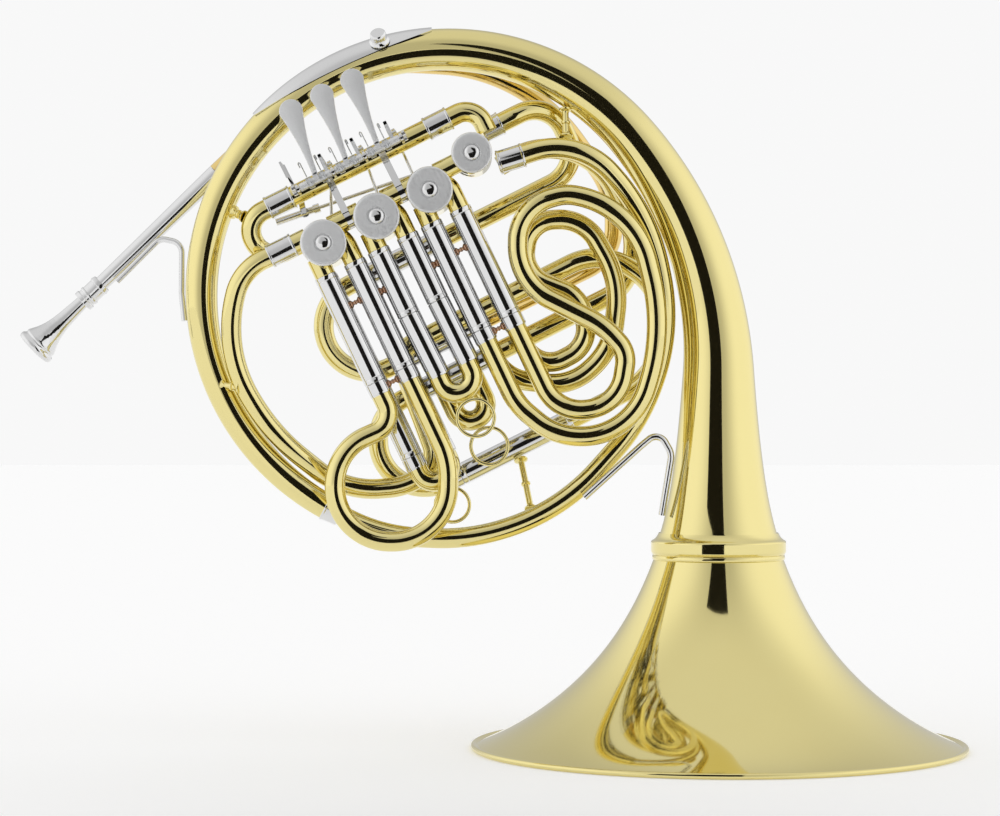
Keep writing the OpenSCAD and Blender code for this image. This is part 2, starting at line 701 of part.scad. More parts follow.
// Flat straps down from the lever tube to saddles on the tubes between the valves
strap_a = [20.4, 56.9];
module lever_straps() {
  color(nickel) for (a = strap_a) difference() {
    union() {
      at_wrap(a, 8) translate([-2.2, f_y - tube_r - 1.4, 3]) rotate([-21.5, 0, 0]) cube([4.4, 1.4, 25.5]);
      pipe(xyz(wf(a - 1.9, f_y, 8)), xyz(wf(a + 1.9, f_y, 8)), tube_r + 1.2, 0);
    }
    pipe(xyz(wf(a - 9, f_y, 8)), xyz(wf(a + 9, f_y, 8)), tube_r + 0.02, 0);
    pipe(xyz(wf(a - 9, tube_y, tube_b)), xyz(wf(a + 9, tube_y, tube_b)), tube_r + 0.02, 0);
  }
}

spring_a = [9.2, 18.1, 29.9, 39.6, 51.4, 61.8];
hook_a = [8.8, 18.4, 29.8, 39.8, 51, 62];
spring_wire = 0.4;
module lever_springs() {
  color(nickel) for (i = [0 : 5]) {
    for (k = [-2 : 2]) translate(xyz(wf(spring_a[i] + k * 0.85, axle_y, axle_up))) rotate([0, 90 - tilt, 0])
      rotate_extrude() translate([hinge_r + 0.4 + spring_wire, 0]) circle(r = spring_wire);
    at_wrap(hook_a[i], axle_up) translate([0, axle_y, 4]) cylinder(r = spring_wire, h = 11);
  }
}

lever_a = [14, 35, 56.5];
head_a = [18.4, 39.6, 60.4];
hinge_from = [1.9, 26.2, 48];
hinge_to = [23.4, 45.2, 70.4];
arm_a = [21.6, 43.6, 66.8];
tip_y = 17.5;
tip_b = 46;
paddle_len = 44.5;
// Paddle half width at t along it: a slim neck that swells into a round head
function paddle_half(t) = 1.7 + 5.7 * pow(t, 1.9);
module finger_lever(i) {
  swing = atan((head_a[i] - lever_a[i]) / paddle_len);
  color(nickel) {
    pipe(xyz(wf(hinge_from[i], axle_y, axle_up)), xyz(wf(hinge_to[i], axle_y, axle_up)), hinge_r,
      axle_r + fit_gap);
    at_wrap(lever_a[i], axle_up) {
      translate([0, axle_y - 2.4, 0]) rotate([90, swing, 0]) linear_extrude(1.5) {
        polygon(concat(
          [for (k = [0 : 12]) [-paddle_half(k / 12), 3 + (paddle_len - 3) * k / 12]],
          [for (k = [12 : -1 : 0]) [paddle_half(k / 12), 3 + (paddle_len - 3) * k / 12]]
        ));
        translate([0, paddle_len]) circle(r = 7.4);
      }
      translate([-1.7, axle_y - 3.9, -0.5]) cube([3.4, 1.9, 4.6]);
    }
    at_wrap(arm_a[i], 0) translate([-1.1, 0, 0]) {
      translate([0, axle_y - 1.4, axle_up + 1.9]) cube([2.2, 3.4, 11.6]);
      translate([0, axle_y - 1.4, axle_up + 11]) cube([2.2, tip_y - axle_y + 2.4, 2.5]);
      translate([0, tip_y - 2, tip_b - 1.4]) cube([2.2, 3, 5]);
    }
    pipe(xyz(wf(arm_a[i] - 0.5, tip_y, tip_b)), xyz(wf(arm_a[i] + 4.4, tip_y, tip_b)), 1.1, 0);
  }
}
module finger_lever_1() finger_lever(0);
module finger_lever_2() finger_lever(1);
module finger_lever_3() finger_lever(2);

// Thumb lever: a bell crank on the stud behind the lever tube, its plate standing over the tube
thumb_arm = 9.85;
thumb_pin = [thumb_a - 2.55, tube_b - 9.51];
rod4_y = 23;
module thumb_lever() {
  color(nickel) {
    difference() {
      union() {
        at_wrap(thumb_a, tube_b) post_y(3.6, 8, 14);
        at_wrap(thumb_a, tube_b) translate([-2, 8, 0]) cube([2, 3, 22]);
        at_wrap(thumb_a, tube_b) rotate([0, 15, 0]) translate([-1.8, 8, -thumb_arm - 1.6]) cube([3.6, 3, 11]);
      }
      at_wrap(thumb_a, tube_b) post_y(2 + fit_gap, 5, 30);
    }
    at_wrap(thumb_a, tube_b) translate([-2, -17, 11]) cube([1.4, 26, 11]);
    at_wrap(thumb_pin[0], thumb_pin[1]) post_y(1.1, 8, rod4_y + 2.4);
  }
}

// Link rods: an upper eye on the lever pin, a lower eye on the crank pin
eye_r = 3.4;
eye_bore = 2.2;
lower_a = [5.12, valve_pitch + 5.12, 2 * valve_pitch - 5.12];
lower_b = 4.24;
module link_rod(i) {
  u = [arm_a[i] + 2.8, tip_b];
  d = [lower_a[i], lower_b];
  color(nickel) difference() {
    union() {
      pipe(xyz(wf(u[0] - 1.2, tip_y, u[1])), xyz(wf(u[0] + 1.2, tip_y, u[1])), 2.6, 0);
      pipe(xyz(wf(u[0], tip_y, u[1])), xyz(wf(d[0], tip_y, d[1])), 1, 0);
      at_wrap(d[0], d[1]) post_y(eye_r, tip_y - 1.3, tip_y + 1.3);
    }
    pipe(xyz(wf(u[0] - 3, tip_y, u[1])), xyz(wf(u[0] + 3, tip_y, u[1])), 1.1 + fit_gap, 0);
    at_wrap(d[0], d[1]) post_y(eye_bore, tip_y - 4, tip_y + 4);
  }
}
module link_rod_1() link_rod(0);
module link_rod_2() link_rod(1);
module link_rod_3() link_rod(2);

// Long rod of the thumb lever, with a knurled lock nut
rod4_end = [valve_a[3] - 2.55, valve_b[3] + 3.2];
module link_rod_4() {
  p = xyz(wf(thumb_pin[0], rod4_y, thumb_pin[1]));
  q = xyz(wf(rod4_end[0], rod4_y, rod4_end[1]));
  d = unit(q - p);
  color(nickel) difference() {
    union() {
      pipe(p - d * 19, p + d * 6, 2.3, 0);
      pipe(p, q, 1.2, 0);
      pipe(p + d * 6, p + d * 10, 3, 0);
      at_wrap(thumb_pin[0], thumb_pin[1]) post_y(3.1, rod4_y - 1.6, rod4_y + 1.6);
      at_wrap(rod4_end[0], rod4_end[1]) post_y(3.2, rod4_y - 1.3, rod4_y + 1.3);
    }
    at_wrap(thumb_pin[0], thumb_pin[1]) post_y(1.1 + fit_gap, rod4_y - 5, rod4_y + 5);
    at_wrap(rod4_end[0], rod4_end[1]) post_y(2, rod4_y - 5, rod4_y + 5);
  }
}

// Cork bumpers on a plate behind each rotor, one at each end of the stop finger's travel
module stop_corks() {
  for (i = [0 : 3]) at_valve(i) for (t = [0, 1]) {
    w = crank_at[i] + 180 + turn[i] * (t == 0 ? -24 : 114);
    color(cork) translate([9.4 * cos(w), 0, 9.4 * sin(w)]) post_y(1.9, casing_back, arm_y1);
  }
}

bell_flare();
bell_flare_collar();
bell_tail();
bell_tail_collar();
bell_tail_ferrule();
main_branch();
change_branch();
left_coil();
leadpipe();
mouthpiece_receiver();
leadpipe_wire_brace();
lever_tube();
tuning_branch();
tuning_sleeves();
nickel_ferrules();
valve_casing_1();
valve_casing_2();
valve_casing_3();
valve_casing_4();
valve_caps();
valve_bearings();
valve_knuckles();
f_valve_sleeves();
bflat_valve_sleeves();
hand_guard();
guard_boss();
bell_stay();
slide_braces();
body_braces();
lever_axle();
lever_posts();
lever_straps();
lever_springs();
stop_corks();
rotor_1();
rotor_2();
rotor_3();
rotor_4();
stop_arm_1();
stop_arm_2();
stop_arm_3();
stop_arm_4();
finger_lever_1();
finger_lever_2();
finger_lever_3();
thumb_lever();
link_rod_1();
link_rod_2();
link_rod_3();
link_rod_4();
f_slide_1();
f_slide_2();
f_slide_3();
bflat_slide_1();
bflat_slide_2();
bflat_slide_3();
main_tuning_slide();
f_tuning_slide();
mouthpiece();
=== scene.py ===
import json
import math
import bmesh
import bpy
from mathutils import Matrix, Vector


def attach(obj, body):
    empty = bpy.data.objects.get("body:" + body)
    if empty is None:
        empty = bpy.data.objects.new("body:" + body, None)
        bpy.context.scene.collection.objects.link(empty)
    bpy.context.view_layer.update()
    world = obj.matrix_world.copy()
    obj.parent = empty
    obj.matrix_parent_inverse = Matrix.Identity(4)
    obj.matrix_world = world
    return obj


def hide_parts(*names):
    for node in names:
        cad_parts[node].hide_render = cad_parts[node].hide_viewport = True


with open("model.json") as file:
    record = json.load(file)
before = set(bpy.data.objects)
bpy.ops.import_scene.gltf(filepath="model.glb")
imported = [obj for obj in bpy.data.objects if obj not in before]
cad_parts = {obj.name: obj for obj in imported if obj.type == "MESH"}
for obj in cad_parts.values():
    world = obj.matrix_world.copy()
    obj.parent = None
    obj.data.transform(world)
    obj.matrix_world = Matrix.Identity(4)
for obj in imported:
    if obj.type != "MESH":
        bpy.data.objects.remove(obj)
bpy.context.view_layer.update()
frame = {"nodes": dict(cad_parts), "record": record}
nodes = frame["nodes"]
body_of = {n: b for b, ns in frame["record"]["behaviour"]["bodies"].items() for n in ns}
sin, cos, pi = math.sin, math.cos, math.pi
rad = math.radians

# ---------- the CAD's own measures, in millimetres ----------
MM = 0.001
# The valve frame: a runs along the row of valves, b up from it, y towards the back
TILT = rad(26.57)
AX = Vector((cos(TILT), 0, sin(TILT)))
UP = Vector((-sin(TILT), 0, cos(TILT)))
BACK = Vector((0, 1, 0))
V1 = Vector((-245, 0, 314))  # centre of the first valve
SLIDE_LEAN = 0.02  # how far the slides lean back along the row for each millimetre down
PITCH = 36.5  # between the first three valves
# The four valves: a, b, cap radius and the y of the cap's back
VALVES = [(i * PITCH, 0, 14, -30) for i in range(3)] + [(106.3, 8.9, 12.3, -28)]
FY, BY, KY = -20, -3, 25  # the planes of the F slides, the B flat slides and the tuning slides
WRAP, WRAP_C = 152.5, (-170.5, 284)  # the big circle's radius and centre
TUBE, SLEEVE, INNER = 6.3, 7.0, 5.95  # radii of the brass tubes, the sleeves and the legs inside them


def wf(a, y, b, r=0.0):
    """A route's corner in the valve frame, with its bend radius."""
    p = V1 + AX * (a + SLIDE_LEAN * min(b, 0)) + UP * b
    return (p.x, y, p.z, r)


def at(a, y, b):
    """A point in the valve frame."""
    return Vector(wf(a, y, b)[:3])


# ---------- mesh building ----------
LONG_RUN, RUN_END = 12, 0.6  # straights longer than the first get a point this far inside each end


def centreline(route, fine=2.5):
    """Points and headings along a route of corners, each rounded to its own bend radius."""
    p = [Vector(c[:3]) for c in route]
    out = [(p[0], (p[1] - p[0]).normalized())]
    for i in range(1, len(p) - 1):
        a = (p[i - 1] - p[i]).normalized()
        b = (p[i + 1] - p[i]).normalized()
        th = a.angle(b)
        r = route[i][3]
        c = p[i] + (a + b).normalized() * (r / sin(th / 2))
        ex = (p[i] + a * (r / math.tan(th / 2)) - c).normalized()
        n = max(3, int(math.degrees(pi - th) / fine) + 1)
        for k in range(n + 1):
            w = (pi - th) * k / n
            out.append((c + (ex * cos(w) - a * sin(w)) * r, (-a * cos(w) - ex * sin(w)).normalized()))
    out.append((p[-1], (p[-1] - p[-2]).normalized()))
    path = [out[0]]
    for q in out[1:]:
        n = (q[0] - path[-1][0]).length
        if n > LONG_RUN:
            u = path[-1][0]
            path += [(u + (q[0] - u) * f, (q[0] - u).normalized()) for f in (RUN_END / n, 1 - RUN_END / n)]
        if n > 0.02:
            path.append(q)
    return path


def side_of(d):
    """A direction at right angles to d."""
    s = Vector((0, 1, 0)) if abs(d.y) < 0.9 else Vector((1, 0, 0))
    return (s - d * s.dot(d)).normalized()


def skin(bm, rings, close=True):
    """Quads between rings of vertices; a ring of one vertex is a tip."""
    for u, v in zip(rings, rings[1:]):
        n = max(len(u), len(v))
        last = n if close else n - 1
        for k in range(last):
            j = (k + 1) % n
            if len(u) == 1:
                bm.faces.new((u[0], v[j], v[k]))
            elif len(v) == 1:
                bm.faces.new((u[k], u[j], v[0]))
            else:
                bm.faces.new((u[k], u[j], v[j], v[k]))


def sweep(bm, path, r, sides=32):
    """A round bar along a path of points and headings, closed at both ends."""
    n = side_of(path[0][1])
    rings = []
    for p, t in path:
        n = (n - t * n.dot(t)).normalized()
        m = t.cross(n)
        rings.append([bm.verts.new((p + (n * cos(w) + m * sin(w)) * r) * MM)
                      for w in (2 * pi * k / sides for k in range(sides))])
    skin(bm, rings)
    bm.faces.new(list(reversed(rings[0])))
    bm.faces.new(rings[-1])


def tube(bm, route, r=TUBE, sides=32, fine=2.5):
    sweep(bm, centreline(route, fine), r, sides)


LONG_STEP, STEP_END = 2.5, 0.35  # steps longer than the first get a ring this far inside each end


def held(profile):
    """The profile with extra rings near both ends of its long steps, so that they shade as straight."""
    out = [profile[0]]
    for u, v in zip(profile, profile[1:]):
        n = math.dist(u, v)
        if n > LONG_STEP:
            for f in (STEP_END / n, 1 - STEP_END / n):
                out.append((u[0] + (v[0] - u[0]) * f, u[1] + (v[1] - u[1]) * f))
        out.append(v)
    return out


def lathe(bm, o, d, profile, sides=48):
    """A profile of (radius, height) turned about the line from o along d."""
    d = Vector(d).normalized()
    o = Vector(o)
    n = side_of(d)
    m = d.cross(n)
    rings = []
    for r, h in held(profile):
        c = o + d * h
        if r < 1e-6:
            rings.append([bm.verts.new(c * MM)])
        else:
            rings.append([bm.verts.new((c + (n * cos(w) + m * sin(w)) * r) * MM)
                          for w in (2 * pi * k / sides for k in range(sides))])
    skin(bm, rings)


def rounded(r, h0, h1, e=0.3):
    """Profile of a solid disc or rod with softened edges."""
    q = e * 0.3
    foot = [(0, h0), (r - e, h0), (r - q, h0 + q), (r, h0 + e)]
    head = [(r, h1 - e), (r - q, h1 - q), (r - e, h1), (0, h1)]
    return foot + head


def rod(bm, p, q, r, e=0.25, sides=32):
    """A solid round rod from p to q."""
    d = Vector(q) - Vector(p)
    lathe(bm, p, d, rounded(r, 0, d.length, min(e, r * 0.4)), sides)


def ring(bm, c, d, major, minor, sides=64, around=16):
    """A wire ring about c, square to d."""
    d = Vector(d).normalized()
    n = side_of(d)
    m = d.cross(n)
    loops = []
    for k in range(sides):
        w = 2 * pi * k / sides
        o = n * cos(w) + m * sin(w)
        loops.append([bm.verts.new((Vector(c) + o * (major + minor * cos(v)) + d * (minor * sin(v))) * MM)
                      for v in (2 * pi * j / around for j in range(around))])
    skin(bm, loops + [loops[0]])


def block(bm, corner, size, origin=Vector((0, 0, 0)), turn=Matrix.Identity(3), e=0.25):
    """A box in a turned frame, with softened edges."""
    part = bmesh.new()
    bmesh.ops.create_cube(part, size=1)
    for v in part.verts:
        q = Vector(((v.co.x + 0.5) * size[0] + corner[0], (v.co.y + 0.5) * size[1] + corner[1],
                    (v.co.z + 0.5) * size[2] + corner[2]))
        v.co = (origin + turn @ q) * MM
    bmesh.ops.bevel(part, geom=part.edges[:], offset=e * MM, segments=2, affect="EDGES")
    me = bpy.data.meshes.new("part")
    part.to_mesh(me)
    part.free()
    bm.from_mesh(me)
    bpy.data.meshes.remove(me)


def tilted(a, b):
    """Origin and turn of the tilted valve frame at a, b."""
    return at(a, 0, b), Matrix((AX, BACK, UP)).transposed()


replaced = []


def piece(name, node, material, *builders, angle=32):
    """One visual piece: its mesh, its material, the body it rides on and the CAD node it stands for."""
    bm = bmesh.new()
    for b in builders:
        b(bm)
    bmesh.ops.recalc_face_normals(bm, faces=bm.faces[:])
    me = bpy.data.meshes.new(name)
    bm.to_mesh(me)
    bm.free()
    me.polygons.foreach_set("use_smooth", [True] * len(me.polygons))
    me.set_sharp_from_angle(angle=rad(angle))
    ob = bpy.data.objects.new(name, me)
    bpy.context.scene.collection.objects.link(ob)
    me.materials.append(material)
    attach(ob, body_of[node])
    if node not in replaced:
        replaced.append(node)
        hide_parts(node)


# ---------- materials ----------
WAVE_SCALE, GRAIN_SCALE = 22, 900  # of the slow waves and the fine grain, per metre
WAVE_HEIGHT = 0.00006


def metal(name, color, rough, grain=0.0, deep=None):
    """A polished or satin metal: slow waves in its colour, a fine grain in its gloss, a faint bump."""
    m = bpy.data.materials.new(name)
    m.use_nodes = True
    nt = m.node_tree
    bsdf = nt.nodes["Principled BSDF"]
    bsdf.inputs["Metallic"].default_value = 1.0
    tex = nt.nodes.new("ShaderNodeTexCoord")
    big = nt.nodes.new("ShaderNodeTexNoise")
    big.inputs["Scale"].default_value = WAVE_SCALE
    big.inputs["Detail"].default_value = 3
    nt.links.new(tex.outputs["Object"], big.inputs["Vector"])
    fine = nt.nodes.new("ShaderNodeTexNoise")
    fine.inputs["Scale"].default_value = GRAIN_SCALE
    fine.inputs["Detail"].default_value = 2
    nt.links.new(tex.outputs["Object"], fine.inputs["Vector"])
    tint = nt.nodes.new("ShaderNodeMix")
    tint.data_type = "RGBA"
    tint.inputs["A"].default_value = (*color, 1)
    tint.inputs["B"].default_value = (*(deep or tuple(c * 0.93 for c in color)), 1)
    nt.links.new(big.outputs["Fac"], tint.inputs["Factor"])
    nt.links.new(tint.outputs["Result"], bsdf.inputs["Base Color"])
    r = nt.nodes.new("ShaderNodeMapRange")
    r.inputs["From Min"].default_value = 0.3
    r.inputs["From Max"].default_value = 0.7
    r.inputs["To Min"].default_value = rough
    r.inputs["To Max"].default_value = rough * 1.5
    nt.links.new(fine.outputs["Fac"], r.inputs["Value"])
    nt.links.new(r.outputs["Result"], bsdf.inputs["Roughness"])
    bump = nt.nodes.new("ShaderNodeBump")
    bump.inputs["Strength"].default_value = 0.03 + grain
    bump.inputs["Distance"].default_value = WAVE_HEIGHT
    nt.links.new((fine if grain else big).outputs["Fac"], bump.inputs["Height"])
    nt.links.new(bump.outputs["Normal"], bsdf.inputs["Normal"])
    return m


BRASS = metal("look_brass", (0.85, 0.75, 0.35), 0.045, deep=(0.83, 0.72, 0.32))
GOLD = metal("look_gold", (0.88, 0.66, 0.26), 0.05)
NICKEL = metal("look_nickel", (0.80, 0.80, 0.80), 0.05)
SATIN = metal("look_satin", (0.86, 0.865, 0.87), 0.42, grain=0.02)
BRONZE = metal("look_bronze", (0.52, 0.31, 0.20), 0.14)
SPRING = metal("look_spring", (0.62, 0.63, 0.64), 0.15)
CORK = metal("look_cork", (0.20, 0.13, 0.08), 0.7, grain=0.3)
CORK.node_tree.nodes["Principled BSDF"].inputs["Metallic"].default_value = 0.0

# ---------- bell ----------
# The rolled bead's radius and the height of its centre, the flare's height, the rim's radius
BEAD, BEAD_Z, FLARE_H, RIM = 1.85, 1.7, 118, 155
FLARE_FOOT, FLARE_WALL = 2.7, 0.8  # where the flare leaves the bead, and its sheet's thickness
ORIGIN, BELL_UP = (0, 0, 0), (0, 0, 1)


def flare(z):
    """The flare's outer radius at height z."""
    return 117 * (232 / (z + 212)) ** 3 + 5 * math.exp(-z / 5)


def flare_profile():
    """Down the outside, round the rolled bead with its flat under the rim, and up the inside."""
    zs = [FLARE_FOOT + (FLARE_H - FLARE_FOOT) * (k / 80) ** 1.5 for k in range(81)]
    prof = [(flare(z), z) for z in reversed(zs)]
    for w in list(range(136, -61, -8)) + [-66.8, -113.2] + list(range(-120, -181, -10)):
        prof.append((RIM - BEAD + BEAD * cos(rad(w)), BEAD_Z + BEAD * sin(rad(w))))
    prof += [(flare(z) - FLARE_WALL, z + 0.05) for z in zs]
    prof[-1] = (flare(FLARE_H) - FLARE_WALL, FLARE_H)
    return prof + [prof[0]]


piece("bell_flare_skin", "bell_flare", BRASS, lambda bm: lathe(bm, ORIGIN, BELL_UP, flare_profile(), 160))
piece("bell_flare_ring", "bell_flare_collar", BRASS, lambda bm: lathe(bm, ORIGIN, BELL_UP, [
    (38.8, 118.03), (41.1, 118.03), (41.3, 118.3), (41.5, 118.9), (41.5, 119.6), (41.2, 120.8), (41, 121),
    (38.9, 121), (38.9, 128.8), (37.3, 128.8), (37.3, 121), (38.8, 118.03)], 128))
piece("bell_tail_ring", "bell_tail_collar", BRASS, lambda bm: lathe(bm, ORIGIN, BELL_UP, [
    (38.95, 121.3), (41.4, 121.3), (41.6, 121.5), (41.8, 122.2), (42.1, 122.6), (42.2, 122.9), (42.2, 128.9),
    (42, 129.4), (41.4, 130), (40.4, 130.5), (39.2, 131.5), (38.2, 132.9), (37.4, 134.6), (36.9, 134.6),
    (36.9, 129.2), (38.95, 129.2), (38.95, 121.3)], 128))

# The tail: round the big circle from one angle to the other, a wider bend of EXIT_R, a straight end
TAIL_START, TAIL_TURN, EXIT_R, EXIT_Z, TAIL_END = 240.6, 40, 229.5, 234.5, 133.4
TAIL_WALL = 0.7
CIRCLE_LEN = rad(TAIL_START - TAIL_TURN) * WRAP
EXIT_LEN = rad(TAIL_TURN) * EXIT_R
TAIL_LEN = CIRCLE_LEN + EXIT_LEN + EXIT_Z - TAIL_END


def tail_radius(s):
    """The tail's outer radius at length s from its narrow end."""
    q = TAIL_LEN - s
    return 36.7 * (1 + q / 60) ** -0.505 - 1.4 * (q / TAIL_LEN) ** 3


def tail_at(s):
    """Where the tail's centre line is at length s, and its heading."""
    if s < CIRCLE_LEN:
        t = rad(TAIL_START) - s / WRAP
        return WRAP_C[0] + WRAP * cos(t), WRAP_C[1] + WRAP * sin(t), t - pi / 2
    if s < CIRCLE_LEN + EXIT_LEN:
        t = rad(TAIL_TURN) - (s - CIRCLE_LEN) / EXIT_R
        return -EXIT_R + EXIT_R * cos(t), EXIT_Z + EXIT_R * sin(t), t - pi / 2
    return 0, EXIT_Z - (s - CIRCLE_LEN - EXIT_LEN), -pi / 2


def tail_pt(s, w, g):
    """A point at angle w round the tail, g millimetres off its skin, in metres."""
    x, z, t = tail_at(s)
    r = tail_radius(s) + g
    return Vector((x - sin(t) * r * cos(w), r * sin(w), z + cos(t) * r * cos(w))) * MM


def tail(bm):
    n, m = 180, 72

    def wall(g):
        return [[bm.verts.new(tail_pt(TAIL_LEN * i / n, 2 * pi * k / m, g)) for k in range(m)]
                for i in range(n + 1)]

    out = wall(0)
    inn = wall(-TAIL_WALL)
    skin(bm, out)
    skin(bm, list(reversed(inn)))
    skin(bm, [inn[0], out[0]])
    skin(bm, [out[-1], inn[-1]])


piece("bell_tail_skin", "bell_tail", BRASS, tail)

FX, FZ, FT = tail_at(0)
F_PT = Vector((FX, 0, FZ))
F_DIR = Vector((cos(FT), 0, sin(FT)))
piece("tail_ferrule", "bell_tail_ferrule", NICKEL, lambda bm: lathe(bm, F_PT, -F_DIR, [
    (8.2, 0), (8.9, 0.1), (9.1, 0.4), (9.1, 1.2), (8.8, 1.5), (8.6, 1.7), (8.2, 4), (7.75, 8), (7.5, 9.6),
    (7.6, 9.8), (7.6, 10.6), (7.4, 11), (6.4, 11)]))

GUARD = [rad(TAIL_START - t) * WRAP for t in (137, 93)]  # the plate's ends along the tail
GUARD_MID, GUARD_HALF = rad(-20), rad(62)  # the plate's middle line round the tail, and its half width


def guard(bm):
    """The hand guard: a leaf-shaped plate bent over the tail."""
    n, m = 60, 14
    rows = []
    for g in (0.15, 1.1):
        for i in range(n + 1):
            f = i / n
            half = GUARD_HALF * sin(pi * (0.02 + 0.96 * f)) ** 0.5
            s = GUARD[0] + (GUARD[1] - GUARD[0]) * f
            rows.append([bm.verts.new(tail_pt(s, GUARD_MID + half * (2 * k / m - 1), g))
                         for k in range(m + 1)])
    lo, hi = rows[:n + 1], rows[n + 1:]
    skin(bm, lo, close=False)
    skin(bm, hi, close=False)
    skin(bm, [lo[0], hi[0]], close=False)
    skin(bm, [lo[-1], hi[-1]], close=False)
    skin(bm, [[r[0] for r in lo], [r[0] for r in hi]], close=False)
    skin(bm, [[r[-1] for r in lo], [r[-1] for r in hi]], close=False)


piece("guard_plate", "hand_guard", NICKEL, guard)
BOSS_S, BOSS_W = rad(TAIL_START - 104.6) * WRAP, rad(-50)
piece("guard_knob", "guard_boss", NICKEL, lambda bm: lathe(
    bm, tail_pt(BOSS_S, BOSS_W, 1.6) * 1000, tail_pt(BOSS_S, BOSS_W, 10) - tail_pt(BOSS_S, BOSS_W, 1), [
        (0, 0), (6.4, 0), (6.6, 0.3), (6.5, 0.9), (6.1, 1.3), (5.4, 2.2), (5.1, 3), (5, 4), (5, 5.6),
        (4.8, 6.6), (4.2, 7.3), (3, 7.6), (0, 7.6)]))

# ---------- fixed tubing ----------
M0 = F_PT - F_DIR * 11
M1 = M0 - F_DIR * 26
MAIN = [(M0.x, 0, M0.z, 0), (M1.x, 0, M1.z, 108), (-155, -1, 130, 130), (-98, -2, 149, 128),
        (-49, -3, 204, 122), (-29, -4, 262, 122), (-44, -8, 333, 118), (-88, -19, 380, 46),
        (-138, -19, 364, 0)]
piece("main_tube", "main_branch", BRASS, lambda bm: tube(bm, MAIN, sides=40))
CHANGE = [wf(62.6, KY, -107), (-56, 27, 289, 30), (-50, 24, 322, 44), (-77, 2, 374, 45), (-118, 1, 375, 44),
          wf(119, 1, -4)]
piece("change_tube", "change_branch", BRASS, lambda bm: tube(bm, CHANGE, sides=40))
COIL = [wf(-34, FY, 8), (-296, -20, 299, 33), (-309, -12, 249, 84), (-279, -8, 197, 120), (-234, 8, 160, 56),
        (-196, 11, 163, 39), (-175, 11, 177, 17), (-201, 11, 248, 13), (-74, 11, 312, 37), (-37, 14, 290, 37),
        (-31, 14, 236, 43), wf(102, KY, -166, 18), wf(92, KY, -166)]
piece("coil_tube", "left_coil", BRASS, lambda bm: tube(bm, COIL, sides=40))
# Along the mouthpipe's line: the mouthpiece's rim, the receiver, the cone, the start of the bent tube
PIPE = Vector((0.7196, 0, 0.6944)).normalized()
RIM_C = Vector((-430.5, 16, 249.5))
REC = RIM_C + PIPE * 43
CONE = REC + PIPE * 17
BEND = CONE + PIPE * 100.3
PIPE_R = 5.75
LEAD = [(*BEND, 0), (-240, 21, 433, 128), (-120, 33, 427, 112), (-64, 38, 350, 56), (-64, 36, 309, 30),
        wf(62, KY, -85)]
piece("mouthpipe_cone", "leadpipe", NICKEL,
      lambda bm: lathe(bm, CONE, PIPE, [(3.9, 0), (4.8, 0), (PIPE_R, 100), (5.2, 100)], 40))
piece("mouthpipe_tube", "leadpipe", GOLD, lambda bm: tube(bm, LEAD, PIPE_R, 40))
piece("receiver", "mouthpiece_receiver", NICKEL, lambda bm: lathe(bm, REC, PIPE, [
    (4.25, 0), (6.8, 0), (7, 0.3), (7, 2.6), (6.7, 3), (6.2, 3.2), (6.2, 4.8), (6.7, 5), (6.8, 5.4),
    (6.8, 6.2), (6.7, 6.6), (6.2, 6.8), (6.2, 13.4), (6.7, 13.8), (6.8, 14.4), (6.2, 16.8), (5.8, 17),
    (3.9, 17)]))
WIRE = [(-377, 10, 292, 0), (-350, 10, 319, 7), (-336, 8, 316, 8), (-336, 6, 284, 20), (-334, 4, 267, 0)]
piece("wire_brace", "leadpipe_wire_brace", NICKEL, lambda bm: tube(bm, WIRE, 1.9, 20, 6))
LEVER = [wf(-16, -3, 8), wf(-39, -3, 8, 13.9), wf(-39, -10, 36, 13.9), wf(121.5, -10, 36, 12),
         wf(121.5, -11, 17.5)]
piece("lever_tube_skin", "lever_tube", BRASS, lambda bm: tube(bm, LEVER, sides=40))
TUNING = [wf(119, 3.4, 20), wf(142, 3.4, 20, 12), wf(166, 8, 20, 22), wf(166, 24, -27, 22),
          wf(140, KY, -27, 12), wf(62, KY, -27)]
piece("tuning_tube", "tuning_branch", BRASS, lambda bm: tube(bm, TUNING, sides=40))


def sleeve_profile(n, r=SLEEVE, bore=6.0):
    """An outer slide with turned lines near both ends."""
    p = [(bore, 0), (r - 0.3, 0), (r, 0.3)]
    for h in (3, n - 3):
        p += [(r, h - 0.25), (r - 0.15, h), (r, h + 0.25)]
    return p + [(r, n - 0.3), (r - 0.3, n), (bore, n)]


def sleeve(bm, p, q):
    lathe(bm, p, q - p, sleeve_profile((q - p).length))


# The b of the upper and lower tubes of the main tuning slide (A) and the F tuning slide (T)
A_UP, A_LOW, T_UP, T_LOW = -27, -85, -107, -166
SLEEVE_A0, SLEEVE_A1, LONG_A1 = 14, 62, 92  # the a of the sleeves' ends; the lowest one is longer


def tuning_sleeves(bm):
    for b in (A_UP, A_LOW, T_UP):
        sleeve(bm, at(SLEEVE_A0, KY, b), at(SLEEVE_A1, KY, b))
    sleeve(bm, at(SLEEVE_A0, KY, T_LOW), at(LONG_A1, KY, T_LOW))


piece("tuning_sleeve_set", "tuning_sleeves", NICKEL, tuning_sleeves)


